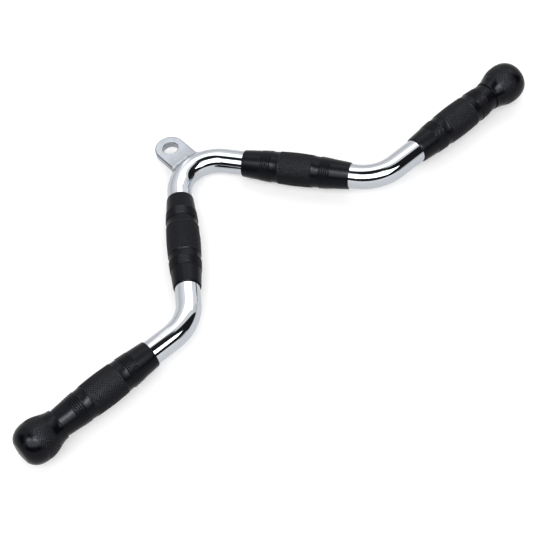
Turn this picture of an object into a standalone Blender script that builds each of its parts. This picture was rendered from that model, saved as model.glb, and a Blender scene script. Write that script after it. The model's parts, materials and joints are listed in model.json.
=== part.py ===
"""Multi-exercise cable bar: a bent chrome bar with an eye plate, four rubber grips and two ball ends.

The bar is drawn flat, in its own bending plane, with the top of its middle bend at the origin, X across
and +Y towards the eye plate. At the end the whole assembly is laid on the floor as it comes to rest.
"""
from math import asin, atan2, cos, pi, radians, sin, sqrt

import bmesh
import bpy
import numpy as np

for old in list(bpy.data.objects):
    bpy.data.objects.remove(old, do_unlink=True)

# Bar: one length of round stock with three bends; bend radii are those of its centre line
BAR_DIAMETER = 0.0254
APEX_BEND_RADIUS = 0.0375
OUTER_BEND_RADIUS = 0.045
ARM_SLOPE = radians(55)
BAR_END_CHAMFER = 0.001

# Rubber grip: collar, ribbed band, smooth band, knurled barrel, and the same again mirrored
COLLAR_LENGTH = 0.020
RIB_BAND_LENGTH = 0.011
SMOOTH_BAND_LENGTH = 0.008
BARREL_LENGTH = 0.0363
GRIP_END_WALL = 0.00095
GRIP_MIDDLE_WALL = 0.00445
GRIP_CROWN_POWER = 1.5
GRIP_EDGE_LENGTH = 0.0016
GRIP_EDGE_DROP = 0.00045
RIB_COUNT = 6
RIB_HEIGHT = 0.0004
GROOVE_DEPTH = 0.00045
SMOOTH_BAND_DROP = 0.00025
BARREL_HEIGHT = 0.00015

# Places of the grips along the bar, measured from the end of the bend before them. They are pushed on
# by hand, so left and right differ
INNER_GRIP_GAP = {"left": 0.0093, "right": 0.0218}
INNER_GRIP_END_GAP = 0.0064
OUTER_GRIP_GAP = {"left": 0.0258, "right": 0.0308}

# Ball end: a rubber ball with a blind bore, whose mouth goes over the end of the grip; its reach over
# the grip is that of the grip pushed furthest out
BALL_RADIUS = 0.0215
BALL_WIDEST_AT = 0.0234
BALL_SIDE_LENGTH = 0.0435
BALL_FLARE_POWER = 0.9
BALL_CAP_REACH = 0.022
BALL_CAP_POWER = 2.6
BALL_FACE_RADIUS = 0.0125
BALL_FACE_CROWN = 0.0015
BALL_DIMPLE_RADIUS = 0.0016
BALL_DIMPLE_DEPTH = 0.0008
BALL_MOUTH_WALL = 0.0008
BALL_MOUTH_EDGE = 0.0006
BALL_OVER_GRIP = 0.0092
BAR_IN_BALL = 0.030

# Eye plate: flat bar with a full round end, one hole and broken edges
EYE_WIDTH = 0.0318
EYE_THICKNESS = 0.008
EYE_END_CENTRE = 0.0385
EYE_HOLE_CENTRE = 0.0375
EYE_HOLE_DIAMETER = 0.0164
EYE_CHAMFER = 0.0008

# Weld: a fillet all round the root of the eye plate; its toes keep a thickness, and its corners
# round off as it fills up
WELD_LEG = 0.0042
WELD_TOE = 0.0004
WELD_CORNER_ROUNDING = 0.8

# Play between pieces that touch or are bonded
CLEARANCE = 0.0003

# Facets
RING_SIDES = 24
BEND_STEPS = 9
BALL_CURVE_STEPS = 7
BALL_FACE_STEPS = 4
HALF_BARREL_STEPS = 3
EYE_END_STEPS = 20
EYE_SIDE_STEPS = 7
EYE_ROOT_STEPS = 4
WELD_CURVE_STEPS = 4
WELD_FACE_STEPS = 8

BAR_RADIUS = BAR_DIAMETER / 2
BORE_RADIUS = BAR_RADIUS + CLEARANCE
GRIP_LENGTH = 2 * (COLLAR_LENGTH + RIB_BAND_LENGTH + SMOOTH_BAND_LENGTH) + BARREL_LENGTH
INNER_STRAIGHT = max(INNER_GRIP_GAP.values()) + GRIP_LENGTH + INNER_GRIP_END_GAP
GRIP_SHOWING = GRIP_LENGTH - BALL_OVER_GRIP
BALL_GAP = max(OUTER_GRIP_GAP.values()) + GRIP_SHOWING
OUTER_STRAIGHT = BALL_GAP + BAR_IN_BALL
APEX_BEND_END = APEX_BEND_RADIUS * ARM_SLOPE
INNER_STRAIGHT_END = APEX_BEND_END + INNER_STRAIGHT
OUTER_BEND_END = INNER_STRAIGHT_END + OUTER_BEND_RADIUS * ARM_SLOPE
BAR_HALF_LENGTH = OUTER_BEND_END + OUTER_STRAIGHT
SIDES = {"left": -1, "right": 1}

rest = bpy.data.objects.new("rest", None)
bpy.context.scene.collection.objects.link(rest)


def finish(name, colour, roughness, metallic):
    """A material of one piece."""
    material = bpy.data.materials.new(name)
    material.use_nodes = True
    shader = material.node_tree.nodes["Principled BSDF"]
    shader.inputs["Base Color"].default_value = (*colour, 1)
    shader.inputs["Roughness"].default_value = roughness
    shader.inputs["Metallic"].default_value = metallic
    return material


def chrome(name):
    return finish(name, (0.78, 0.79, 0.81), 0.08, 1)


def rubber(name):
    return finish(name, (0.018, 0.018, 0.019), 0.55, 0)


def piece(name, vertices, faces, material):
    """One named object from vertices and faces, shaded smooth over its shallow edges."""
    bm = bmesh.new()
    points = [bm.verts.new(v) for v in vertices]
    for face in faces:
        bm.faces.new([points[i] for i in face])
    bmesh.ops.recalc_face_normals(bm, faces=bm.faces[:])
    mesh = bpy.data.meshes.new(name)
    bm.to_mesh(mesh)
    bm.free()
    mesh.shade_smooth()
    mesh.set_sharp_from_angle(angle=radians(30))
    mesh.materials.append(material)
    made = bpy.data.objects.new(name, mesh)
    bpy.context.scene.collection.objects.link(made)
    made.parent = rest
    return made


def cutter(name, vertices, faces):
    """A shape that only cuts others."""
    made = piece(name, vertices, faces, None)
    made.hide_render = True
    made.display_type = "WIRE"
    return made


def cut(body, tool):
    """Cut the tool's shape out of the body."""
    modifier = body.modifiers.new("cut " + tool.name, "BOOLEAN")
    modifier.operation = "DIFFERENCE"
    modifier.solver = "EXACT"
    modifier.object = tool


def joined_rings(rings, closed=False):
    """Faces between neighbouring rings of vertex numbers; a ring of one vertex is a pole."""
    faces = []
    followers = rings[1:] + (rings[:1] if closed else [])
    for ring, following in zip(rings, followers):
        count = max(len(ring), len(following))
        for i in range(count):
            j = (i + 1) % count
            if len(ring) == 1:
                faces.append((ring[0], following[i], following[j]))
            elif len(following) == 1:
                faces.append((ring[j], ring[i], following[0]))
            else:
                faces.append((ring[i], following[i], following[j], ring[j]))
    return faces


def turned(profile, closed):
    """Vertices and faces of a profile of (x, radius) points turned round X."""
    vertices, rings = [], []
    for x, radius in profile:
        start = len(vertices)
        if radius == 0:
            vertices.append((x, 0, 0))
        else:
            for k in range(RING_SIDES):
                angle = 2 * pi * k / RING_SIDES
                vertices.append((x, radius * cos(angle), radius * sin(angle)))
        rings.append(list(range(start, len(vertices))))
    return vertices, joined_rings(rings, closed)


def steps(first, last, count):
    """Numbers from first to last in count equal steps, both ends included."""
    return [first + (last - first) * i / count for i in range(count + 1)]


def along_bar(distance, side=1):
    """Place and heading of the bar's centre line at a distance from the top of its middle bend."""
    turned_by = min(distance, APEX_BEND_END) / APEX_BEND_RADIUS
    x = APEX_BEND_RADIUS * sin(turned_by)
    y = -APEX_BEND_RADIUS * (1 - cos(turned_by))
    straight = min(max(distance - APEX_BEND_END, 0), INNER_STRAIGHT)
    x += straight * cos(ARM_SLOPE)
    y -= straight * sin(ARM_SLOPE)
    heading = -turned_by
    if distance > INNER_STRAIGHT_END:
        back = min(distance - INNER_STRAIGHT_END, OUTER_BEND_RADIUS * ARM_SLOPE) / OUTER_BEND_RADIUS
        heading = back - ARM_SLOPE
        x += OUTER_BEND_RADIUS * (sin(ARM_SLOPE) - sin(ARM_SLOPE - back))
        y -= OUTER_BEND_RADIUS * (cos(ARM_SLOPE - back) - cos(ARM_SLOPE))
        x += max(distance - OUTER_BEND_END, 0)
    return (side * x, y), heading if side > 0 else pi - heading


def swept_bar(stations):
    """Vertices and faces of the bar through stations of (signed distance, radius), with flat ends."""
    vertices, rings = [], []
    for distance, radius in stations:
        side = -1 if distance < 0 else 1
        (x, y), heading = along_bar(abs(distance), side)
        if side < 0:
            heading += pi
        start = len(vertices)
        for k in range(RING_SIDES):
            angle = 2 * pi * k / RING_SIDES
            across = radius * cos(angle)
            vertices.append((x - across * sin(heading), y + across * cos(heading), radius * sin(angle)))
        rings.append(list(range(start, len(vertices))))
    return vertices, joined_rings(rings) + [rings[0], rings[-1][::-1]]


def bar_stations():
    """Half of the bar's stations: every few degrees in the bends, and the ends of the straights."""
    half = [(d, BAR_RADIUS) for d in steps(0, APEX_BEND_END, BEND_STEPS)]
    half += [(d, BAR_RADIUS) for d in steps(INNER_STRAIGHT_END, OUTER_BEND_END, BEND_STEPS)]
    half.append((BAR_HALF_LENGTH - BAR_END_CHAMFER, BAR_RADIUS))
    half.append((BAR_HALF_LENGTH, BAR_RADIUS - BAR_END_CHAMFER))
    return [(-d, r) for d, r in half[:0:-1]] + half


bar = piece("bar", *swept_bar(bar_stations()), chrome("bar chrome"))


# Grips: one moulding, used four times
def crown(x):
    """Radius of the grip's plain barrel line at x from one end."""
    off_middle = abs(x - GRIP_LENGTH / 2) / (GRIP_LENGTH / 2)
    thinning = (GRIP_MIDDLE_WALL - GRIP_END_WALL) * off_middle ** GRIP_CROWN_POWER
    return BORE_RADIUS + GRIP_MIDDLE_WALL - thinning


def half_grip_outline():
    """Outside of the grip from its end to the middle of its barrel, as (x, radius) points."""
    band = COLLAR_LENGTH + RIB_BAND_LENGTH
    barrel = band + SMOOTH_BAND_LENGTH
    outline = [(0, crown(0) - GRIP_EDGE_DROP), (GRIP_EDGE_LENGTH / 3, crown(0) - GRIP_EDGE_DROP / 3)]
    outline += [(x, crown(x)) for x in steps(GRIP_EDGE_LENGTH, COLLAR_LENGTH, 2)]
    for number, x in enumerate(steps(COLLAR_LENGTH, band, 2 * RIB_COUNT - 2)):
        outline.append((x, crown(x) + RIB_HEIGHT - GROOVE_DEPTH * (number % 2)))
    outline += [(x, crown(x) - SMOOTH_BAND_DROP) for x in (band, barrel)]
    outline += [(x, crown(x) + BARREL_HEIGHT) for x in steps(barrel, GRIP_LENGTH / 2, HALF_BARREL_STEPS)]
    return outline


def grip_profile():
    """Closed outline of the whole grip: its outside, then its bore."""
    half = half_grip_outline()
    whole = half + [(GRIP_LENGTH - x, r) for x, r in half[-2::-1]]
    return whole + [(GRIP_LENGTH, BORE_RADIUS), (0, BORE_RADIUS)]


def place_on_bar(body, distance, side):
    """Set a turned piece on the bar, its X axis along the bar away from the middle bend."""
    (x, y), heading = along_bar(distance, side)
    body.location = (x, y, 0)
    body.rotation_euler.z = heading


for name, side in SIDES.items():
    inner = piece("inner_grip_" + name, *turned(grip_profile(), True), rubber("inner grip rubber " + name))
    place_on_bar(inner, APEX_BEND_END + INNER_GRIP_GAP[name], side)
    outer = piece("outer_grip_" + name, *turned(grip_profile(), True), rubber("outer grip rubber " + name))
    place_on_bar(outer, OUTER_BEND_END + OUTER_GRIP_GAP[name], side)


# Ball ends: one moulding, used twice
def ball_profile():
    """Outline from the bottom of the bore, out of the mouth and over the ball to its crowned end face."""
    pocket_radius = crown(GRIP_SHOWING) + CLEARANCE
    mouth_radius = pocket_radius + BALL_MOUTH_WALL
    bore_end = BAR_IN_BALL + CLEARANCE
    pocket_end = BALL_OVER_GRIP + CLEARANCE
    profile = [(bore_end, 0), (bore_end, BORE_RADIUS), (pocket_end, BORE_RADIUS)]
    profile += [(pocket_end, pocket_radius), (0, pocket_radius), (0, mouth_radius - BALL_MOUTH_EDGE)]
    for t in steps(0, 1, BALL_CURVE_STEPS):
        x = BALL_MOUTH_EDGE + t * (BALL_WIDEST_AT - BALL_MOUTH_EDGE)
        flare = (1 - cos(pi * t ** BALL_FLARE_POWER)) / 2
        profile.append((x, mouth_radius + (BALL_RADIUS - mouth_radius) * flare))
    face_angle = asin((BALL_FACE_RADIUS / BALL_RADIUS) ** (BALL_CAP_POWER / 2))
    for angle in steps(pi / 2, face_angle, BALL_CURVE_STEPS)[1:]:
        x = BALL_WIDEST_AT + BALL_CAP_REACH * cos(angle) ** (2 / BALL_CAP_POWER)
        profile.append((min(x, BALL_SIDE_LENGTH), BALL_RADIUS * sin(angle) ** (2 / BALL_CAP_POWER)))
    rim = BALL_FACE_RADIUS - BALL_MOUTH_EDGE
    for radius in steps(rim, BALL_DIMPLE_RADIUS, BALL_FACE_STEPS):
        profile.append((BALL_SIDE_LENGTH + BALL_FACE_CROWN * (1 - (radius / rim) ** 2), radius))
    dimple_floor = BALL_SIDE_LENGTH + BALL_FACE_CROWN - BALL_DIMPLE_DEPTH
    profile += [(dimple_floor, BALL_DIMPLE_RADIUS / 2), (dimple_floor, 0)]
    return profile


for name, side in SIDES.items():
    ball = piece("ball_end_" + name, *turned(ball_profile(), False), rubber("ball rubber " + name))
    place_on_bar(ball, OUTER_BEND_END + BALL_GAP, side)


# Eye plate, coped to the bar's round at its root
def eye_angles():
    """Directions from the hole's centre to the points of the plate's outline, anticlockwise."""
    corner = atan2(EYE_HOLE_CENTRE, EYE_WIDTH / 2)
    angles = steps(-corner, 0, EYE_SIDE_STEPS) + steps(0, pi, EYE_END_STEPS)[1:]
    angles += steps(pi, pi + corner, EYE_SIDE_STEPS)[1:]
    return angles + steps(pi + corner, 2 * pi - corner, EYE_ROOT_STEPS)[1:-1]


def eye_edge(angle, half_width):
    """Point of the outline of a plate of this half width, in a direction from the hole's centre."""
    across, along = cos(angle), sin(angle)
    offset = EYE_END_CENTRE - EYE_HOLE_CENTRE
    reach = half_width / max(abs(across), 1e-9)
    if reach * along > offset:
        reach = offset * along + sqrt(half_width ** 2 - (offset * across) ** 2)
    if along < 0:
        reach = min(reach, EYE_HOLE_CENTRE / -along)
    return reach * across, EYE_HOLE_CENTRE + reach * along


def eye_plate():
    """Vertices and faces of the plate: a ring that runs round its outside and back through its hole."""
    vertices, rings = [], []
    half = EYE_THICKNESS / 2
    levels = [(-half, EYE_CHAMFER), (EYE_CHAMFER - half, 0), (half - EYE_CHAMFER, 0), (half, EYE_CHAMFER)]
    loops = [[(*eye_edge(a, EYE_WIDTH / 2 - inset), z) for a in eye_angles()] for z, inset in levels]
    for z, inset in levels[::-1]:
        r = EYE_HOLE_DIAMETER / 2 + inset
        loops.append([(r * cos(a), EYE_HOLE_CENTRE + r * sin(a), z) for a in eye_angles()])
    for loop in loops:
        rings.append(list(range(len(vertices), len(vertices) + len(loop))))
        vertices += loop
    return vertices, joined_rings(rings, True)


def swollen_bend(swell):
    """The middle bend of the bar with a short straight at each end, thicker by swell all round."""
    reach = APEX_BEND_END + min(INNER_GRIP_GAP.values())
    stops = [-reach] + steps(-APEX_BEND_END, APEX_BEND_END, 2 * BEND_STEPS) + [reach]
    return swept_bar([(d, BAR_RADIUS + swell) for d in stops])


eye = piece("eye_plate", *eye_plate(), chrome("eye plate chrome"))
eye_root_cutter = cutter("eye_root_cutter", *swollen_bend(CLEARANCE))
cut(eye, eye_root_cutter)


# Weld fillet round the plate's root
def weld_section(half_width, half_height, corner):
    """Rounded rectangle of (x, z) points with its long sides divided, so that it can follow the bend."""
    section = []
    for x_sign, z_sign, first in ((1, 1, 0), (-1, 1, pi / 2), (-1, -1, pi), (1, -1, 1.5 * pi)):
        centre_x = x_sign * (half_width - corner)
        centre_z = z_sign * (half_height - corner)
        for angle in steps(first, first + pi / 2, 3):
            section.append((centre_x + corner * cos(angle), centre_z + corner * sin(angle)))
        if x_sign == z_sign:
            section += [(x, z_sign * half_height) for x in steps(centre_x, -centre_x, WELD_FACE_STEPS)[1:-1]]
    return section


def eye_weld():
    """Vertices and faces of the fillet, round-hollow to plate and bar, before they are cut out of it."""
    plate_x = EYE_WIDTH / 2 + CLEARANCE + WELD_TOE
    plate_z = EYE_THICKNESS / 2 + CLEARANCE + WELD_TOE
    foot = BAR_RADIUS + CLEARANCE + WELD_TOE
    top = foot + WELD_LEG
    face_radius = (plate_z ** 2 + top ** 2 - foot ** 2) / (2 * (foot - plate_z))
    low = top * foot / (foot + face_radius)
    vertices, rings = [], []
    curve = [top - WELD_LEG * sin(angle) for angle in steps(pi / 2, 0, WELD_CURVE_STEPS)]
    for height in [0, low] + curve:
        end_fill = WELD_LEG - sqrt(max(WELD_LEG ** 2 - (top - height) ** 2, 0))
        face_fill = face_radius - sqrt(face_radius ** 2 - (top - max(height, low)) ** 2)
        corner = 2 * WELD_TOE + WELD_CORNER_ROUNDING * face_fill
        section = weld_section(plate_x + end_fill, plate_z + face_fill, corner)
        rings.append(list(range(len(vertices), len(vertices) + len(section))))
        for x, z in section:
            vertices.append((x, sqrt((APEX_BEND_RADIUS + height) ** 2 - x ** 2) - APEX_BEND_RADIUS, z))
    return vertices, joined_rings(rings) + [rings[0], rings[-1][::-1]]


def plate_slot():
    """Box that leaves the weld clear of the plate."""
    x = EYE_WIDTH / 2 + CLEARANCE
    z = EYE_THICKNESS / 2 + CLEARANCE
    ends = (-BAR_RADIUS, EYE_END_CENTRE)
    vertices = [(sx * x, y, sz * z) for y in ends for sx, sz in ((1, 1), (-1, 1), (-1, -1), (1, -1))]
    rings = [[0, 1, 2, 3], [4, 5, 6, 7]]
    return vertices, joined_rings(rings) + [rings[0], rings[1][::-1]]


weld = piece("eye_weld", *eye_weld(), chrome("weld chrome"))
plate_slot_cutter = cutter("plate_slot_cutter", *plate_slot())
cut(weld, eye_root_cutter)
cut(weld, plate_slot_cutter)


# Rest: the assembly is tipped about X until it lies on two of its lines, and stands on Z = 0
def lower_hull(points):
    """Points of (y, z) that a floor coming from below can touch, in order of y."""
    hull = []
    for y, z in sorted(points):
        while len(hull) > 1:
            (y0, z0), (y1, z1) = hull[-2:]
            if (y1 - y0) * (z - z0) > (z1 - z0) * (y - y0):
                break
            hull.pop()
        hull.append((y, z))
    return hull


def resting_slope(points, balance):
    """Slope of the floor under the points, where it carries the balance point."""
    hull = lower_hull(points)
    for (y0, z0), (y1, z1) in zip(hull, hull[1:]):
        if y0 <= balance <= y1:
            return atan2(z1 - z0, y1 - y0)


def lay_down(bodies):
    """Tip the assembly about X to its resting line and centre the bottom of its box on the origin."""
    bpy.context.view_layer.update()
    x, y, z = np.array([body.matrix_world @ v.co for body in bodies for v in body.data.vertices]).T
    balance = np.mean([along_bar(d)[0][1] for d in steps(0, BAR_HALF_LENGTH, 200)])
    slope = resting_slope(set(zip(y.round(7).tolist(), z.round(7).tolist())), balance)
    y, z = y * cos(slope) + z * sin(slope), z * cos(slope) - y * sin(slope)
    rest.location = (-(x.min() + x.max()) / 2, -(y.min() + y.max()) / 2, -z.min())
    rest.rotation_euler.x = -slope


lay_down([body for body in rest.children if not body.hide_render])
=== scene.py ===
"""Looks of a bent cable bar with an eye plate, four rubber grips and two ball ends.

Each piece is drawn on the bar's own plane, with the top of the middle bend at the origin, X across and
+Y towards the eye plate, and is then laid where the CAD frame lies.
"""
import json
import math

import bmesh
import bpy
from mathutils import Matrix, Vector, noise


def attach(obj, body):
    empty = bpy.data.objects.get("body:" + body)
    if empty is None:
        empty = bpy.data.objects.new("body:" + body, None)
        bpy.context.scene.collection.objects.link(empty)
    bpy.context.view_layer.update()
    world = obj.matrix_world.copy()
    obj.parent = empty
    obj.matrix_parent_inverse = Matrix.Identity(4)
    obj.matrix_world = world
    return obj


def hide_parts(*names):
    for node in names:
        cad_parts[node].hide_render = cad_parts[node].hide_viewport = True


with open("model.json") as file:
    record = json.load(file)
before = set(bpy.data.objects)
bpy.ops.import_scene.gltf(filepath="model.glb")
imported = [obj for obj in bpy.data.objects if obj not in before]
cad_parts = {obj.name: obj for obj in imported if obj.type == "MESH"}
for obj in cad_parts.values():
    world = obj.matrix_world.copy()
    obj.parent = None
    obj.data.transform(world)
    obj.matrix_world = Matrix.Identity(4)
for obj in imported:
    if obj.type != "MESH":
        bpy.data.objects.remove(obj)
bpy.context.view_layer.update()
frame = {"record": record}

# Bar: one length of 25.4 mm steel round, bent cold in three places and plated with bright chrome.
# It never touches the floor: the rubber carries it, so that it lies tipped a little about X. Its plating
# mirrors the studio, with a polish and a tone that vary only faintly.
BAR_RADIUS = 0.0127
MIDDLE_BEND_RADIUS = 0.0375
OUTER_BEND_RADIUS = 0.045
INNER_STRAIGHT_LENGTH = 0.1425
ARM_SLOPE = math.radians(55)
MIDDLE_BEND_END = MIDDLE_BEND_RADIUS * ARM_SLOPE
INNER_STRAIGHT_END = MIDDLE_BEND_END + INNER_STRAIGHT_LENGTH
OUTER_BEND_END = INNER_STRAIGHT_END + OUTER_BEND_RADIUS * ARM_SLOPE
BAR_HALF_LENGTH = 0.38759
BAR_END_EDGE = 0.001
BAR_END_STEPS = 4
BAR_SIDES = 128
BEND_STATION = 0.001
PLATE_TOP_MOUNT = (0.00098, 0.04996, 0.004)
BRIGHT_TONE = (0.64, 0.67, 0.72)
PAINTED_SHADE_SHARE = 0.62
CLOUD_LOW = 0.35
CLOUD_HIGH_FOR_POLISH = 0.7
CLOUD_HIGH_FOR_TONE = 0.65


def lying():
    """Where the bar's plane lies: the tip and place that the eye plate's upper mount gives."""
    mount = next(m for m in frame["record"]["mounts"] if m["name"] == "eye_plate_top")
    tip = Matrix.Rotation(-math.atan2(mount["axis"][1], mount["axis"][2]), 4, "X")
    return Matrix.Translation(Vector(mount["pos_m"]) - tip @ Vector(PLATE_TOP_MOUNT)) @ tip


def along_bar(distance):
    """Point and heading of the bar's centre line, at a signed distance from the top of its middle bend."""
    side = -1 if distance < 0 else 1
    run = abs(distance)
    first = min(run, MIDDLE_BEND_END) / MIDDLE_BEND_RADIUS
    straight = min(max(run - MIDDLE_BEND_END, 0), INNER_STRAIGHT_END - MIDDLE_BEND_END)
    back = min(max(run - INNER_STRAIGHT_END, 0) / OUTER_BEND_RADIUS, ARM_SLOPE)
    left = ARM_SLOPE - back
    x = MIDDLE_BEND_RADIUS * math.sin(first) + straight * math.cos(ARM_SLOPE)
    y = MIDDLE_BEND_RADIUS * (math.cos(first) - 1) - straight * math.sin(ARM_SLOPE)
    x += OUTER_BEND_RADIUS * (math.sin(ARM_SLOPE) - math.sin(left)) + max(run - OUTER_BEND_END, 0)
    y -= OUTER_BEND_RADIUS * (math.cos(left) - math.cos(ARM_SLOPE))
    return side * x, y, -side * (first - back)


def skin(rings, closed=False):
    """Faces between neighbouring rings of vertex numbers. A ring may be one point, or be cut finer."""
    faces = []
    for low, high in zip(rings, rings[1:] + (rings[:1] if closed else [])):
        counts = (len(low), len(high))
        spans = max(counts) if 1 in counts else min(counts)
        for k in range(spans):
            face = []
            for ring, way in ((low, 1), (high, -1)):
                cut = len(ring) // spans
                face += [ring[(k * cut + j) % len(ring)] for j in range(cut + 1)][::way] if cut else ring
            faces.append(face)
    return faces


def numbered(loops):
    """The vertices of some loops of points, and the loops as rings of vertex numbers."""
    vertices, rings = [], []
    for loop in loops:
        rings.append(list(range(len(vertices), len(vertices) + len(loop))))
        vertices += loop
    return vertices, rings


def piece(name, vertices, faces, place, finish, node, slot, **marks):
    """A smooth-shaded piece that stands for a node. Its marks are numbers for its finish, one a point."""
    bm = bmesh.new()
    points = [bm.verts.new(place @ Vector(v)) for v in vertices]
    for face in faces:
        bm.faces.new([points[i] for i in face])
    bmesh.ops.recalc_face_normals(bm, faces=bm.faces[:])
    mesh = bpy.data.meshes.new(name)
    bm.to_mesh(mesh)
    bm.free()
    mesh.shade_smooth()
    for mark, values in marks.items():
        mesh.attributes.new(mark, "FLOAT", "POINT").data.foreach_set("value", values)
    mesh.materials.append(finish)
    made = bpy.data.objects.new(name, mesh)
    bpy.context.scene.collection.objects.link(made)
    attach(made, "root")
    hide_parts(node)


def steps(first, last, count):
    """Numbers from first to last in count equal steps, both ends included."""
    return [first + (last - first) * i / count for i in range(count + 1)]


def wire(tree, kind, feeds=(), **settings):
    """One shader node. Feeds are (input, value or socket that feeds it); the rest are its settings."""
    made = tree.nodes.new("ShaderNode" + kind)
    for key, value in settings.items():
        setattr(made, key, value)
    for key, value in feeds:
        if isinstance(value, bpy.types.NodeSocket):
            tree.links.new(value, made.inputs[key])
        else:
            made.inputs[key].default_value = value
    return made


def blend(tree, share, first, second):
    """A number that goes from the first to the second as the share goes from 0 to 1."""
    return wire(tree, "Mix", [(0, share), (2, first), (3, second)], data_type="FLOAT").outputs[0]


def tinted(tree, share, first, second):
    """A colour that goes from the first to the second as the share goes from 0 to 1."""
    return wire(tree, "Mix", [(0, share), (6, first), (7, second)], data_type="RGBA").outputs[2]


def marked(tree, mark):
    """What a piece's mark of this name says, point by point."""
    return wire(tree, "Attribute", attribute_name=mark).outputs["Fac"]


def shade(tone, share=1.0):
    """This share of a tone, as a colour with its alpha."""
    return (*[share * c for c in tone], 1)


def chrome(name, tone, smoothest, roughest, grain, grain_size, glossy=0.03, mottle=0.04, cloud=0.018):
    """Chrome plate: a mirror whose polish and tone vary in clouds, with a grain of this height and size.

    It is glossy where the piece's polish mark is 1, and its colour is darker, as painted shade, where its
    mark for painted shade is 1.
    """
    finish = bpy.data.materials.new(name)
    finish.use_nodes = True
    tree = finish.node_tree
    shader = tree.nodes["Principled BSDF"]
    shader.inputs["Metallic"].default_value = 1
    place = wire(tree, "TexCoord").outputs["Object"]
    clouds = wire(tree, "TexNoise", [("Vector", place), ("Scale", 1 / cloud), ("Detail", 5)])
    rubbed = wire(tree, "MapRange", [("Value", clouds.outputs["Fac"]), ("From Min", CLOUD_LOW),
                  ("From Max", CLOUD_HIGH_FOR_POLISH), ("To Min", smoothest), ("To Max", roughest)])
    roughness = blend(tree, marked(tree, "polish"), rubbed.outputs["Result"], glossy)
    tree.links.new(roughness, shader.inputs["Roughness"])
    tint = wire(tree, "ValToRGB", [("Fac", clouds.outputs["Fac"])])
    tint.color_ramp.elements[0].position = CLOUD_LOW
    tint.color_ramp.elements[0].color = shade(tone, 1 - mottle)
    tint.color_ramp.elements[1].position = CLOUD_HIGH_FOR_TONE
    tint.color_ramp.elements[1].color = shade(tone)
    # Painted shade: the tone darkens where the piece's mark for painted shade is 1.
    dulled = tinted(tree, marked(tree, "dull"), tint.outputs["Color"], shade(tone, PAINTED_SHADE_SHARE))
    tree.links.new(dulled, shader.inputs["Base Color"])
    specks = wire(tree, "TexNoise", [("Vector", place), ("Scale", 1 / grain_size), ("Detail", 3)])
    relief = wire(tree, "Bump", [("Strength", 1), ("Distance", grain), ("Height", specks.outputs["Fac"])])
    tree.links.new(relief.outputs["Normal"], shader.inputs["Normal"])
    return finish


def bar_loops():
    """Rings of points down the whole bar, close together in its bends."""
    runs = []
    for start, end in ((0, MIDDLE_BEND_END), (INNER_STRAIGHT_END, OUTER_BEND_END)):
        runs += [(d, BAR_RADIUS) for d in steps(start, end, round((end - start) / BEND_STATION))]
    for angle in steps(0, math.pi / 2, BAR_END_STEPS):
        edge = BAR_END_EDGE * (1 - math.sin(angle))
        runs.append((BAR_HALF_LENGTH - edge, BAR_RADIUS - BAR_END_EDGE * (1 - math.cos(angle))))
    loops = []
    for distance, radius in [(-d, r) for d, r in runs[:0:-1]] + runs:
        x, y, heading = along_bar(distance)
        loop = []
        for k in range(BAR_SIDES):
            angle = 2 * math.pi * k / BAR_SIDES
            across, up = radius * math.cos(angle), radius * math.sin(angle)
            loop.append((x - across * math.sin(heading), y + across * math.cos(heading), up))
        loops.append(loop)
    return loops


BAR_LIES = lying()
bar_vertices, bar_rings = numbered(bar_loops())
bar_ends = [bar_rings[0], bar_rings[-1][::-1]]
bright_chrome = chrome("bright chrome", BRIGHT_TONE, smoothest=0.02, roughest=0.06,
                       grain=0.000002, grain_size=0.0006)
piece("bent_bar", bar_vertices, skin(bar_rings) + bar_ends, BAR_LIES, bright_chrome, "bar", "bar_chrome")

# Eye plate: 8 mm flat bar with a full round end and one drilled hole, set on the outside of the middle
# bend before plating. Its faces and edges were ground, so that its chrome is duller than the bar's. Its
# colour is painted darker along the broken edges and towards the root, as painted shade.
EYE_WIDTH = 0.0318
EYE_THICKNESS = 0.008
EYE_END_CENTRE = 0.0385
EYE_HOLE_CENTRE = 0.0375
EYE_HOLE_RADIUS = 0.0082
EYE_EDGE = 0.0012
EYE_HOLE_EDGE = 0.0008
EYE_EDGE_STEPS = 5
EYE_FLAT_MARGIN = 0.00015
EYE_ROOT_DEPTH = 0.0115
EYE_SIDE_STEPS = 8
EYE_END_STEPS = 64
EYE_ROOT_STEPS = 16
EYE_SHADE_ENDS_AT = 0.03
EYE_SHADE_DARKEST_AT = 0.012
GROUND_TONE = (0.43, 0.455, 0.497)


def eye_outline(angle, half_width):
    """Point of the plate's outline in a direction from the hole's centre. Its root lies in the bar."""
    across, along = math.cos(angle), math.sin(angle)
    offset = EYE_END_CENTRE - EYE_HOLE_CENTRE
    reach = half_width / max(abs(across), 1e-9)
    if reach * along > offset:
        reach = offset * along + math.sqrt(half_width ** 2 - (offset * across) ** 2)
    if along < 0:
        root = MIDDLE_BEND_RADIUS + EYE_ROOT_DEPTH
        height = EYE_HOLE_CENTRE + MIDDLE_BEND_RADIUS
        inside = root ** 2 - (height * across) ** 2
        if inside > 0:
            reach = min(reach, -height * along - math.sqrt(inside))
    return reach * across, EYE_HOLE_CENTRE + reach * along


def rounded_over(edge):
    """(inset, height) of a plate's rim from its lower face round to its upper face."""
    half = EYE_THICKNESS / 2
    quarter = steps(0, math.pi / 2, EYE_EDGE_STEPS)
    rim = [(edge * (1 - math.sin(a)), edge * (1 - math.cos(a)) - half) for a in quarter]
    rim = [(edge + EYE_FLAT_MARGIN, -half)] + rim
    return rim + [(inset, -z) for inset, z in rim[::-1]]


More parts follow.
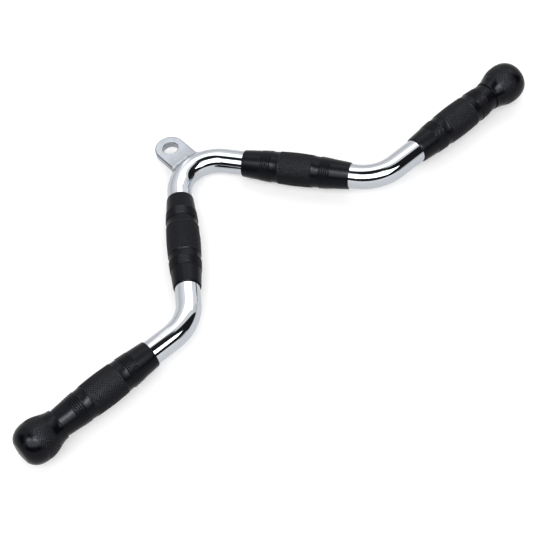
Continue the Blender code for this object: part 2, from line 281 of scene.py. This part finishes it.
def eye_loops():
    """Loops of points round the plate's outside, then back through its hole."""
    root_x = EYE_WIDTH / 2
    root_y = math.sqrt((MIDDLE_BEND_RADIUS + EYE_ROOT_DEPTH) ** 2 - root_x ** 2) - MIDDLE_BEND_RADIUS
    corner = math.atan2(EYE_HOLE_CENTRE - root_y, root_x)
    angles = steps(-corner, 0, EYE_SIDE_STEPS)
    angles += steps(0, math.pi, EYE_END_STEPS)[1:]
    angles += steps(math.pi, math.pi + corner, EYE_SIDE_STEPS)[1:]
    angles += steps(math.pi + corner, 2 * math.pi - corner, EYE_ROOT_STEPS)[1:-1]
    loops = []
    for inset, z in rounded_over(EYE_EDGE):
        loops.append([(*eye_outline(a, EYE_WIDTH / 2 - inset), z) for a in angles])
    for inset, z in rounded_over(EYE_HOLE_EDGE)[::-1]:
        r = EYE_HOLE_RADIUS + inset
        loops.append([(r * math.cos(a), EYE_HOLE_CENTRE + r * math.sin(a), z) for a in angles])
    return loops


eye_vertices, eye_rings = numbered(eye_loops())
eye_rims = [(inset, edge) for edge in (EYE_EDGE, EYE_HOLE_EDGE) for inset, z in rounded_over(edge)]
eye_polish = [float(inset <= edge) for inset, edge in eye_rims for point in eye_rings[0]]
# Painted shade in the plate's colour: darker along its rounded edges and towards its root at the weld.
eye_shaded_edges = [float(0 < inset < edge) for inset, edge in eye_rims for point in eye_rings[0]]
eye_root_shade = [(EYE_SHADE_ENDS_AT - y) / (EYE_SHADE_ENDS_AT - EYE_SHADE_DARKEST_AT) for x, y, z in eye_vertices]
eye_dull = [max(edge_shade, min(max(root_shade, 0), 1)) for edge_shade, root_shade in zip(eye_shaded_edges, eye_root_shade)]
ground_chrome = chrome("ground chrome", GROUND_TONE, smoothest=0.30, roughest=0.42,
                       grain=0.00002, grain_size=0.0006, glossy=0.08, mottle=0.12, cloud=0.005)
piece("eye_plate_ground", eye_vertices, skin(eye_rings, True), BAR_LIES, ground_chrome,
      "eye_plate", "eye_chrome", polish=eye_polish, dull=eye_dull)

# Weld: one bead run all round the plate's root, dressed hollow with a grinder and plated over with
# the rest, so that plate and bar flow into each other with only a slight ripple left.
WELD_LEG = 0.0042
WELD_TOE = 0.00007
WELD_ROOT = 0.0075
WELD_FLOOR = 0.0105
WELD_CORNER = 0.0008
WELD_CORNER_GROWTH = 0.8
WELD_ROWS = 16
WELD_CORNER_STEPS = 8
WELD_FACE_STEPS = 18
WELD_END_STEPS = 6
RIPPLE = 0.035
RIPPLE_ACROSS = 0.3
RIPPLE_FADE = 0.001
RIPPLES_PER_METRE = 260
RIPPLE_PATTERN = 1.7
BEAD_TONE = (0.60, 0.63, 0.68)


def weld_section(half_width, half_height, corner):
    """Rounded rectangle of (x, z) points, with its sides divided so that it can follow the bend."""
    section = []
    quarters = ((1, 1, 0), (-1, 1, 0.5 * math.pi), (-1, -1, math.pi), (1, -1, 1.5 * math.pi))
    for x_sign, z_sign, first in quarters:
        centre_x = x_sign * (half_width - corner)
        centre_z = z_sign * (half_height - corner)
        for angle in steps(first, first + math.pi / 2, WELD_CORNER_STEPS):
            section.append((centre_x + corner * math.cos(angle), centre_z + corner * math.sin(angle)))
        if x_sign == z_sign:
            across = steps(centre_x, -centre_x, WELD_FACE_STEPS)[1:-1]
            section += [(x, z_sign * half_height) for x in across]
        else:
            down = steps(centre_z, -centre_z, WELD_END_STEPS)[1:-1]
            section += [(x_sign * half_width, z) for z in down]
    return section


def weld_loops():
    """Loops up the fillet, from inside the bar to its toe on the plate."""
    plate_x = EYE_WIDTH / 2 + WELD_TOE
    plate_z = EYE_THICKNESS / 2 + WELD_TOE
    foot = BAR_RADIUS + WELD_TOE
    top = foot + WELD_LEG
    face_radius = (plate_z ** 2 + top ** 2 - foot ** 2) / (2 * (foot - plate_z))
    low = top * foot / (foot + face_radius)
    heights = [WELD_ROOT, WELD_FLOOR]
    heights += [top - WELD_LEG * math.sin(a) for a in steps(math.pi / 2, 0, WELD_ROWS)]
    if low < WELD_FLOOR:
        heights.append(low)
    loops = []
    for height in sorted(heights):
        end_fill = WELD_LEG - math.sqrt(max(WELD_LEG ** 2 - (top - height) ** 2, 0))
        face_fill = face_radius - math.sqrt(face_radius ** 2 - (top - max(height, low)) ** 2)
        corner = WELD_CORNER + WELD_CORNER_GROWTH * face_fill
        loop = []
        for x, z in weld_section(plate_x + end_fill, plate_z + face_fill, corner):
            spot = Vector((x * RIPPLES_PER_METRE, z * RIPPLES_PER_METRE, RIPPLE_PATTERN))
            swell = 1 + RIPPLE * noise.noise(spot) * min(1, (top - height) / RIPPLE_FADE)
            x *= 1 + (swell - 1) * RIPPLE_ACROSS
            y = math.sqrt((MIDDLE_BEND_RADIUS + height) ** 2 - x ** 2) - MIDDLE_BEND_RADIUS
            loop.append((x, y, z * swell))
        loops.append(loop)
    return loops


weld_vertices, weld_rings = numbered(weld_loops())
weld_faces = skin(weld_rings) + [weld_rings[0], weld_rings[-1][::-1]]
plated_bead = chrome("plated bead", BEAD_TONE, smoothest=0.10, roughest=0.24,
                     grain=0.00002, grain_size=0.0009, mottle=0.25, cloud=0.003)
piece("plated_weld", weld_vertices, weld_faces, BAR_LIES, plated_bead, "eye_weld", "eye_chrome")

# Grips: one satin black rubber moulding, used four times, pushed wet over the bar and held by its own
# stretch. From each end it has a plain collar, a band of fine ribs and a sunk plain band, and the
# swollen barrel between them is cut into small diamonds. Its bore is drawn nearly closed on the bar.
BORE_RADIUS = 0.013
BORE_CLOSING = 0.0002
DRAWN_BORE = BORE_RADIUS - BORE_CLOSING
BORE_LIP = 0.0003
GRIP_LENGTH = 0.1143
GRIP_END_WALL = 0.00095
GRIP_MIDDLE_WALL = 0.00445
GRIP_CROWN_POWER = 1.5
GRIP_EDGE_LENGTH = 0.0016
GRIP_EDGE_DROP = 0.00045
GRIP_EDGE_STEPS = 6
COLLAR_END = 0.020
COLLAR_STEPS = 7
RIBS_END = 0.031
RIB_PITCH = 0.0022
RIB_HEIGHT = 0.0004
RIB_STEPS = 60
GROOVE_DEPTH = 0.0007
BAND_END = 0.039
BAND_DROP = 0.00025
BAND_HOLLOW = 0.0002
BAND_STEPS = 10
BARREL_HEIGHT = 0.00015
STEP_WIDTH = 0.00022
STEP_ROOM = 0.6 * STEP_WIDTH
STEP_ROWS = 6
SHOULDER_WIDTH = 0.0009
DIAMONDS_ROUND = 40
DIAMOND_LENGTH = 0.0028
DIAMOND_DEPTH = 0.0005
DIAMOND_SLOPE = 0.95
DIAMOND_FADE = 0.0008
PLAIN_WEAR = 0.15
WEAR_FADE = 0.0012
PLAIN_SIDES = 96
CUT_SIDES = 384
CUT_STATION = 0.0003
INNER_LEFT_GAP = 0.0093
INNER_RIGHT_GAP = 0.0218
OUTER_LEFT_GAP = 0.0258
OUTER_RIGHT_GAP = 0.0308
GRIP_PLACES = {
    # Signed distance of the grip's start along the bar, and its turn about the bar in radians
    "inner_grip_left": (-(MIDDLE_BEND_END + INNER_LEFT_GAP), 0.3),
    "inner_grip_right": (MIDDLE_BEND_END + INNER_RIGHT_GAP, 1.1),
    "outer_grip_left": (-(OUTER_BEND_END + OUTER_LEFT_GAP), 2.0),
    "outer_grip_right": (OUTER_BEND_END + OUTER_RIGHT_GAP, 2.9),
}
RUBBER_BLACK = (0.0012, 0.0012, 0.0022)
RUBBER_MOTTLE = 0.25
RUBBER_SPECULAR = 0.15
RUBBER_SHEEN_TINT = (0.86, 0.9, 1, 1)
RUBBER_CLOUD_LOW = 0.3
RUBBER_CLOUD_HIGH = 0.7
RUBBED_GRIP = (0.0045, 0.0047, 0.0065)
RUBBER_CLOUDS_PER_METRE = 90
MOULD_SKIN_HEIGHT = 0.00001
MOULD_SKIN_SIZE = 0.0003


def crown(x):
    """Radius of the grip's plain line at x from one end."""
    off_middle = abs(x - GRIP_LENGTH / 2) / (GRIP_LENGTH / 2)
    thinning = (GRIP_MIDDLE_WALL - GRIP_END_WALL) * off_middle ** GRIP_CROWN_POWER
    return BORE_RADIUS + GRIP_MIDDLE_WALL - thinning


def ribs(x):
    """Height of the ribbed band over the plain line: round ribs with narrow grooves between."""
    groove = (1 - math.cos(2 * math.pi * (x - COLLAR_END) / RIB_PITCH)) / 2
    return RIB_HEIGHT - GROOVE_DEPTH * groove ** 2


def smooth_step(t):
    """Soft rise from 0 to 1 as t goes from 0 to 1, and level beyond."""
    t = min(max(t, 0), 1)
    return t * t * (3 - 2 * t)


def moulded_step(x0, from_height, to_height, width=STEP_WIDTH):
    """(x, height) points of a small rounded step at x0."""
    return [(x0 + width * (t - 0.5), from_height + (to_height - from_height) * smooth_step(t))
            for t in steps(0, 1, STEP_ROWS)]


def plain_end():
    """(x, radius) points from the grip's end to where its diamonds begin."""
    outline = []
    for angle in steps(0, math.pi / 2, GRIP_EDGE_STEPS):
        outline.append((GRIP_EDGE_LENGTH * (1 - math.cos(angle)), -GRIP_EDGE_DROP * (1 - math.sin(angle))))
    outline += [(x, 0) for x in steps(GRIP_EDGE_LENGTH, COLLAR_END - STEP_WIDTH, COLLAR_STEPS)[1:]]
    outline += moulded_step(COLLAR_END, 0, RIB_HEIGHT)
    for x in steps(COLLAR_END, RIBS_END, RIB_STEPS)[1:-1]:
        if COLLAR_END + STEP_ROOM < x < RIBS_END - STEP_ROOM:
            outline.append((x, ribs(x)))
    outline += moulded_step(RIBS_END, RIB_HEIGHT, -BAND_DROP)
    for x in steps(RIBS_END, BAND_END - SHOULDER_WIDTH / 2, BAND_STEPS)[1:-1]:
        hollow = BAND_HOLLOW * math.sin(math.pi * (x - RIBS_END) / (BAND_END - RIBS_END))
        outline.append((x, -BAND_DROP - hollow))
    outline += moulded_step(BAND_END, -BAND_DROP, BARREL_HEIGHT, SHOULDER_WIDTH)
    return [(x, crown(x) + height) for x, height in outline]


def diamond_cut(turn, run, count, length, depth):
    """Depth of the grooves at this turn (in turns) and run, between rows of small raised diamonds."""
    nearest = 1
    for lean in (1, -1):
        phase = run / length + lean * turn * count
        nearest = min(nearest, abs(phase - round(phase)) * 2)
    return depth * (1 - smooth_step(nearest / DIAMOND_SLOPE))


def ring_at(x, radius, sides):
    """One ring round X. The radius is a number, or a function of the turn."""
    ring = []
    for k in range(sides):
        turn = k / sides
        r = radius(turn) if callable(radius) else radius
        ring.append((x, r * math.cos(2 * math.pi * turn), r * math.sin(2 * math.pi * turn)))
    return ring


def grip_loops():
    """Rings over the outside of the grip from end to end, and back through its bore."""
    end = plain_end()
    loops = [ring_at(x, r, PLAIN_SIDES) for x, r in end]
    first, last = end[-1][0], GRIP_LENGTH - end[-1][0]
    for x in steps(first + CUT_STATION, last - CUT_STATION, round((last - first) / CUT_STATION) - 2):
        fade = smooth_step(min(x - first, last - x) / DIAMOND_FADE)

        def cut_radius(turn):
            run = x - GRIP_LENGTH / 2
            cut = diamond_cut(turn, run, DIAMONDS_ROUND, DIAMOND_LENGTH, DIAMOND_DEPTH)
            return crown(x) + BARREL_HEIGHT - cut * fade

        loops.append(ring_at(x, cut_radius, CUT_SIDES))
    loops += [ring_at(GRIP_LENGTH - x, r, PLAIN_SIDES) for x, r in end[::-1]]
    mouth = DRAWN_BORE + BORE_LIP
    bore = ((GRIP_LENGTH, mouth), (GRIP_LENGTH - BORE_LIP, DRAWN_BORE), (BORE_LIP, DRAWN_BORE), (0, mouth))
    return loops + [ring_at(x, r, PLAIN_SIDES) for x, r in bore]


def grip_wear(point):
    """How far the black goes to its rubbed tone: 1 on the tops of the ribs and diamonds, as wear, and 0 in
    their grooves, left darker than the plain rubber as painted shade.
    """
    x = min(point[0], GRIP_LENGTH - point[0])
    height = math.hypot(point[1], point[2]) - crown(x)
    if x < COLLAR_END or RIBS_END < x < BAND_END:
        return PLAIN_WEAR
    top, depth = (RIB_HEIGHT, GROOVE_DEPTH) if x < RIBS_END else (BARREL_HEIGHT, DIAMOND_DEPTH)
    inside = 1 if x < RIBS_END else smooth_step((x - BAND_END) / WEAR_FADE)
    return PLAIN_WEAR + (min(max(1 - (top - height) / depth, 0), 1) - PLAIN_WEAR) * inside


def rubber(name, rubbed, smoothest, roughest, glossy):
    """Moulded rubber: near-black satin, its sheen in soft clouds, with the fine skin of the mould.

    It is glossy where the piece's polish mark is 1. Its colour takes its rubbed tone where its mark for
    wear and groove shade is 1, as wear on tops, and is darkest where that mark is 0, as painted shade in
    grooves.
    """
    finish = bpy.data.materials.new(name)
    finish.use_nodes = True
    tree = finish.node_tree
    shader = tree.nodes["Principled BSDF"]
    shader.inputs["Specular IOR Level"].default_value = RUBBER_SPECULAR
    shader.inputs["Specular Tint"].default_value = RUBBER_SHEEN_TINT
    place = wire(tree, "TexCoord").outputs["Object"]
    clouds = wire(tree, "TexNoise", [("Vector", place), ("Scale", RUBBER_CLOUDS_PER_METRE), ("Detail", 6)])
    sheen = wire(tree, "MapRange", [("Value", clouds.outputs["Fac"]), ("From Min", RUBBER_CLOUD_LOW),
                 ("From Max", RUBBER_CLOUD_HIGH), ("To Min", smoothest), ("To Max", roughest)])
    roughness = blend(tree, marked(tree, "polish"), sheen.outputs["Result"], glossy)
    tree.links.new(roughness, shader.inputs["Roughness"])
    tint = wire(tree, "ValToRGB", [("Fac", clouds.outputs["Fac"])])
    tint.color_ramp.elements[0].color = shade(RUBBER_BLACK, 1 - RUBBER_MOTTLE)
    tint.color_ramp.elements[1].color = shade(RUBBER_BLACK, 1 + RUBBER_MOTTLE)
    # Painted shade: the colour is darkest in the grooves, where the mark is 0, and takes the rubbed tone
    # on the tops.
    worn_and_groove_shaded = tinted(tree, marked(tree, "wear"), tint.outputs["Color"], shade(rubbed))
    tree.links.new(worn_and_groove_shaded, shader.inputs["Base Color"])
    pores = wire(tree, "TexNoise", [("Vector", place), ("Scale", 1 / MOULD_SKIN_SIZE), ("Detail", 2)])
    relief = wire(tree, "Bump", [("Strength", 1), ("Distance", MOULD_SKIN_HEIGHT),
                  ("Height", pores.outputs["Fac"])])
    tree.links.new(relief.outputs["Normal"], shader.inputs["Normal"])
    return finish


def on_bar(distance, turn):
    """Place of a turned piece on the bar, its X axis pointing away from the middle bend."""
    x, y, heading = along_bar(distance)
    heading += math.pi if distance < 0 else 0
    facing = BAR_LIES @ Matrix.Translation((x, y, 0)) @ Matrix.Rotation(heading, 4, "Z")
    return facing @ Matrix.Rotation(turn, 4, "X")


grip_vertices, grip_rings = numbered(grip_loops())
grip_faces = skin(grip_rings, True)
grip_polish = [float(len(ring) == PLAIN_SIDES) for ring in grip_rings for point in ring]
# Rubbed wear lightens the tops of the ribs and diamonds, and painted shade darkens their grooves.
grip_worn_and_shaded = [grip_wear(point) for point in grip_vertices]
grip_rubber = rubber("satin grip rubber", RUBBED_GRIP, smoothest=0.36, roughest=0.44, glossy=0.30)
for node, (distance, turn) in GRIP_PLACES.items():
    piece(node + "_moulding", grip_vertices, grip_faces, on_bar(distance, turn), grip_rubber,
          node, "grip_rubber", polish=grip_polish, wear=grip_worn_and_shaded)

# Ball ends: the same rubber, moulded as a hollow knob with a blind bore, pushed on last so that its
# mouth goes over the end of the grip's collar. The flare carries a band of small diamonds, and the
# crowned end face has the shallow pip of the mould's gate.
BALL_RADIUS = 0.0215
BALL_WIDEST_AT = 0.0234
BALL_SIDE_LENGTH = 0.0435
BALL_FLARE_POWER = 0.9
BALL_FLARE_STEPS = 12
BALL_CAP_REACH = 0.022
BALL_CAP_POWER = 2.6
BALL_CAP_STEPS = 18
BALL_FACE_RADIUS = 0.0125
BALL_FACE_CROWN = 0.0015
BALL_FACE_STEPS = 12
BALL_DIMPLE_RADIUS = 0.0016
BALL_DIMPLE_DEPTH = 0.0008
BALL_DIMPLE_TAPER = 0.5
BALL_DIMPLE_STEPS = 4
BALL_MOUTH_WALL = 0.0008
BALL_MOUTH_EDGE = 0.0006
BALL_MOUTH_LIP = 0.0003
BALL_MOUTH_STEPS = 4
BALL_OVER_GRIP = 0.0092
BALL_BORE_END = 0.0303
BALL_CUT_FROM = 0.009
BALL_CUT_TO = 0.029
BALL_CUT_FADES = (0.004, 0.006)
BALL_CUT_STATION = 0.00028
BALL_DIAMONDS_ROUND = 48
BALL_DIAMOND_LENGTH = 0.0028
BALL_DIAMOND_DEPTH = 0.0004
BALL_SIDES = 120
BALL_CUT_SIDES = 480
BALL_TURN = 0.4
BALL_PLACES = {"ball_end_left": -1, "ball_end_right": 1}
POCKET_CLEARANCE = 0.0003
GRIP_SHOWING = GRIP_LENGTH - BALL_OVER_GRIP
POCKET_RADIUS = crown(GRIP_SHOWING) + POCKET_CLEARANCE
MOUTH_RADIUS = POCKET_RADIUS + BALL_MOUTH_WALL
RUBBED_BALL = (0.0065, 0.0068, 0.009)


def ball_outline(x):
    """Radius of the ball's outside at x from its mouth."""
    if x <= BALL_WIDEST_AT:
        t = (x - BALL_MOUTH_EDGE) / (BALL_WIDEST_AT - BALL_MOUTH_EDGE)
        flare = (1 - math.cos(math.pi * t ** BALL_FLARE_POWER)) / 2
        return MOUTH_RADIUS + (BALL_RADIUS - MOUTH_RADIUS) * flare
    lean = ((x - BALL_WIDEST_AT) / BALL_CAP_REACH) ** (BALL_CAP_POWER / 2)
    return BALL_RADIUS * (1 - lean ** 2) ** (1 / BALL_CAP_POWER)


def ball_fade(x):
    """How deep the diamonds are cut here: they run out softly on both sides of their band."""
    rise, fall = BALL_CUT_FADES
    return smooth_step((x - BALL_CUT_FROM) / rise) * smooth_step((BALL_CUT_TO - x) / fall)


def ball_loops():
    """Rings from the bottom of the bore, out of the mouth and over the ball to the middle of its face."""
    bore = ((BALL_BORE_END, DRAWN_BORE), (BALL_OVER_GRIP, DRAWN_BORE))
    pocket = ((BALL_OVER_GRIP, POCKET_RADIUS), (BALL_MOUTH_LIP, POCKET_RADIUS))
    loops = [[(BALL_BORE_END, 0, 0)]]
    loops += [ring_at(x, r, BALL_SIDES) for x, r in bore + pocket]
    for angle in steps(-math.pi / 2, 0, BALL_MOUTH_STEPS):
        x = BALL_MOUTH_EDGE * (1 + math.sin(angle))
        loops.append(ring_at(x, MOUTH_RADIUS - BALL_MOUTH_EDGE * (1 - math.cos(angle)), BALL_SIDES))
    for x in steps(BALL_MOUTH_EDGE, BALL_CUT_FROM, BALL_FLARE_STEPS)[1:]:
        loops.append(ring_at(x, ball_outline(x), BALL_SIDES))
    cuts = round((BALL_CUT_TO - BALL_CUT_FROM) / BALL_CUT_STATION)
    for x in steps(BALL_CUT_FROM, BALL_CUT_TO, cuts)[1:-1]:

        def cut_radius(turn):
            depth = diamond_cut(turn, x, BALL_DIAMONDS_ROUND, BALL_DIAMOND_LENGTH, BALL_DIAMOND_DEPTH)
            return ball_outline(x) - depth * ball_fade(x)

        loops.append(ring_at(x, cut_radius, BALL_CUT_SIDES))
    shoulder = math.acos(((BALL_CUT_TO - BALL_WIDEST_AT) / BALL_CAP_REACH) ** (BALL_CAP_POWER / 2))
    face = math.asin((BALL_FACE_RADIUS / BALL_RADIUS) ** (BALL_CAP_POWER / 2))
    for angle in steps(shoulder, face, BALL_CAP_STEPS):
        x = BALL_WIDEST_AT + BALL_CAP_REACH * math.cos(angle) ** (2 / BALL_CAP_POWER)
        radius = BALL_RADIUS * math.sin(angle) ** (2 / BALL_CAP_POWER)
        loops.append(ring_at(min(x, BALL_SIDE_LENGTH), radius, BALL_SIDES))
    rim = BALL_FACE_RADIUS - BALL_MOUTH_EDGE
    for radius in steps(rim, BALL_DIMPLE_RADIUS, BALL_FACE_STEPS):
        x = BALL_SIDE_LENGTH + BALL_FACE_CROWN * (1 - (radius / rim) ** 2)
        loops.append(ring_at(x, radius, BALL_SIDES))
    top = BALL_SIDE_LENGTH + BALL_FACE_CROWN * (1 - (BALL_DIMPLE_RADIUS / rim) ** 2)
    for t in steps(0, 1, BALL_DIMPLE_STEPS)[1:]:
        radius = BALL_DIMPLE_RADIUS * (1 - BALL_DIMPLE_TAPER * t)
        loops.append(ring_at(top - BALL_DIMPLE_DEPTH * smooth_step(t), radius, BALL_SIDES))
    return loops + [[(top - BALL_DIMPLE_DEPTH, 0, 0)]]


def ball_wear(point):
    """As on the grips, over the band of diamonds only: wear on the tops, painted shade in the grooves."""
    if not BALL_CUT_FROM < point[0] < BALL_CUT_TO:
        return PLAIN_WEAR
    sunk = ball_outline(point[0]) - math.hypot(point[1], point[2])
    worn_and_groove_shaded = min(max(1 - sunk / BALL_DIAMOND_DEPTH, 0), 1)
    return PLAIN_WEAR + (worn_and_groove_shaded - PLAIN_WEAR) * ball_fade(point[0])


ball_vertices, ball_rings = numbered(ball_loops())
ball_faces = skin(ball_rings)
ball_polish = [float(len(ring) < BALL_CUT_SIDES) for ring in ball_rings for point in ring]
# Rubbed wear lightens the tops of the diamonds, and painted shade darkens their grooves.
ball_worn_and_shaded = [ball_wear(point) for point in ball_vertices]
ball_rubber = rubber("satin ball rubber", RUBBED_BALL, smoothest=0.25, roughest=0.33, glossy=0.20)
for node, side in BALL_PLACES.items():
    place = on_bar(side * (OUTER_BEND_END + OUTER_RIGHT_GAP + GRIP_SHOWING), BALL_TURN)
    piece(node + "_moulding", ball_vertices, ball_faces, place, ball_rubber,
          node, "ball_rubber", polish=ball_polish, wear=ball_worn_and_shaded)

# Floor: a plain white sweep of paper, wide enough to fill every mirror below the horizon. It is bright
# enough to burn out to pure white away from the object. The chrome and the rubber see it greyer.
FLOOR_HALF = 6.0
PAPER_ROUGHNESS = 0.9
PAPER_SPECULAR = 0.1
PAPER_DARKEST = 0.69
PAPER_LIGHTEST = 0.71
PAPER_IN_MIRRORS = 0.28
PAPER_GLOW = 0.35
PAPER_GLOW_IN_MIRRORS = 0.5
FIBRES_PER_METRE = 300


def paper(name):
    """Matt white paper with a faint fibre, one tone for the camera and another for all other rays."""
    finish = bpy.data.materials.new(name)
    finish.use_nodes = True
    tree = finish.node_tree
    shader = tree.nodes["Principled BSDF"]
    shader.inputs["Roughness"].default_value = PAPER_ROUGHNESS
    shader.inputs["Specular IOR Level"].default_value = PAPER_SPECULAR
    place = wire(tree, "TexCoord").outputs["Object"]
    fibre = wire(tree, "TexNoise", [("Vector", place), ("Scale", FIBRES_PER_METRE), ("Detail", 4)])
    tint = wire(tree, "ValToRGB", [("Fac", fibre.outputs["Fac"])])
    tint.color_ramp.elements[0].color = shade((PAPER_DARKEST,) * 3)
    tint.color_ramp.elements[1].color = shade((PAPER_LIGHTEST,) * 3)
    seen = wire(tree, "LightPath").outputs["Is Camera Ray"]
    tone = tinted(tree, seen, shade((PAPER_IN_MIRRORS,) * 3), tint.outputs["Color"])
    tree.links.new(tone, shader.inputs["Base Color"])
    shader.inputs["Emission Color"].default_value = (1, 1, 1, 1)
    glow = blend(tree, seen, PAPER_GLOW_IN_MIRRORS, PAPER_GLOW)
    tree.links.new(glow, shader.inputs["Emission Strength"])
    return finish


floor_corners = [(x * FLOOR_HALF, y * FLOOR_HALF, 0) for x, y in ((-1, -1), (1, -1), (1, 1), (-1, 1))]
floor_mesh = bpy.data.meshes.new("floor")
floor_mesh.from_pydata(floor_corners, [], [(0, 1, 2, 3)])
floor_mesh.materials.append(paper("white paper"))
floor = bpy.data.objects.new("floor", floor_mesh)
bpy.context.scene.collection.objects.link(floor)

# Studio: two banks of diffused lamps hang level over the bar, one before it and one behind it, in a pale
# room. The bare lamps in them show as highlights only. The dark gap between the banks and the dark parts
# of the room draw the black lines in the chrome.
BANK_HEIGHT = 2.6
BANKS = {
    # Turn in degrees, then left, right, near and far edges in metres, and radiance
    "front bank": (-42, -1.95, 3.29, -3.48, -0.87, 3.1),
    "front bank, left lamps": (-42, -1.25, -0.65, -1.02, -0.87, 130),
    "front bank, right lamps": (-42, 0, 1.3, -1.02, -0.87, 160),
    "back bank": (-25.6, -0.68, 3.12, 0.85, 2.5, 1.4),
    "back bank, lamps": (-25.6, 2, 2.7, 0.85, 1.2, 30),
}
WALL_FOOT_TONE = 0.64
WALL_TOP_TONE = 0.93
WALL_TOP_DEGREES = 40
BLACK = 0.015
ROOM = [
    # Azimuth centre, half width, lowest and highest elevation and softness in degrees, then tone
    (12, 35, 35, 55, 6, 1.05),
    (77, 20, -5, 42, 4, 0.98),
    (17.5, 2.5, -5, 36, 2, 1.5),
    (0, 181, 74, 95, 3, BLACK),
    (315, 35, 64, 95, 3, BLACK),
    (127.5, 16.5, 4, 95, 1, BLACK),
    (150, 9, 10, 95, 1, BLACK),
    (205, 60, 10, 42, 1, BLACK),
    (-53, 25, 15, 50, 3, BLACK),
    (213, 50, -5, 9, 1.5, 1.0),
]
HORIZON_SOFTNESS = 1
BELOW_TONE = 1.0
BACKDROP_TONE = 0.9

for name, (turn, left, right, near, far, radiance) in BANKS.items():
    lamp = bpy.data.lights.new(name, "AREA")
    lamp.shape = "RECTANGLE"
    lamp.size = right - left
    lamp.size_y = far - near
    lamp.energy = radiance * lamp.size * lamp.size_y * math.pi
    bank = bpy.data.objects.new(name, lamp)
    bpy.context.scene.collection.objects.link(bank)
    level = Matrix.Rotation(math.radians(turn), 4, "Z")
    bank.matrix_world = level @ Matrix.Translation(((left + right) / 2, (near + far) / 2, BANK_HEIGHT))
    bank.visible_diffuse = not name.endswith("lamps")

world = bpy.data.worlds.new("studio room")
bpy.context.scene.world = world
world.use_nodes = True
room = world.node_tree
ray = wire(room, "TexCoord").outputs["Generated"]
height = wire(room, "SeparateXYZ", [("Vector", ray)]).outputs["Z"]
elevation = wire(room, "Math", [(0, height)], operation="ARCSINE").outputs["Value"]


def edge(value, start, end):
    """Smooth rise from 0 at start to 1 at end, both in degrees."""
    feeds = [("Value", value), ("From Min", math.radians(start)), ("From Max", math.radians(end))]
    return wire(room, "MapRange", feeds, interpolation_type="SMOOTHSTEP").outputs["Result"]


def product(a, b):
    """Product of two numbers in the room's shader."""
    return wire(room, "Math", [(0, a), (1, b)], operation="MULTIPLY").outputs["Value"]


def away_from(azimuth):
    """How far the ray's azimuth is off this one, in radians, to either side."""
    feeds = [("Vector", ray), ("Angle", math.radians(azimuth))]
    turned = wire(room, "VectorRotate", feeds, rotation_type="Z_AXIS").outputs["Vector"]
    flat = wire(room, "SeparateXYZ", [("Vector", turned)]).outputs
    off = wire(room, "Math", [(0, flat["X"]), (1, flat["Y"])], operation="ARCTAN2").outputs["Value"]
    return wire(room, "Math", [(0, off)], operation="ABSOLUTE").outputs["Value"]


tone = blend(room, edge(elevation, 0, WALL_TOP_DEGREES), WALL_FOOT_TONE, WALL_TOP_TONE)
for azimuth, half, lowest, highest, soft, part_tone in ROOM:
    mask = edge(away_from(azimuth), half + soft, half - soft)
    mask = product(mask, edge(elevation, lowest - soft, lowest + soft))
    mask = product(mask, edge(elevation, highest + soft, highest - soft))
    tone = blend(room, mask, tone, part_tone)
tone = blend(room, edge(elevation, HORIZON_SOFTNESS, -HORIZON_SOFTNESS), tone, BELOW_TONE)
seen = wire(room, "LightPath").outputs["Is Camera Ray"]
tone = blend(room, seen, tone, BACKDROP_TONE)
background = room.nodes["Background"]
room.links.new(tone, background.inputs["Strength"])
background.inputs["Color"].default_value = (1, 1, 1, 1)

# Camera: a long lens from the front left and above. Its place is the one from which the edges of the
# bar, grips and balls fall together with those in the photograph.
CAMERA_LENS = 91.748347
CAMERA_PLACE = (-0.46286786, -0.72974053, 1.12670307)
CAMERA_TURN = (34.594113, 4.662813, -41.033271)

camera_data = bpy.data.cameras.new("camera")
camera_data.sensor_width = 36
camera_data.lens = CAMERA_LENS
camera = bpy.data.objects.new("camera", camera_data)
camera.location = CAMERA_PLACE
camera.rotation_euler = [math.radians(a) for a in CAMERA_TURN]
bpy.context.scene.collection.objects.link(camera)
bpy.context.scene.camera = camera
bpy.context.scene.view_settings.view_transform = "Standard"
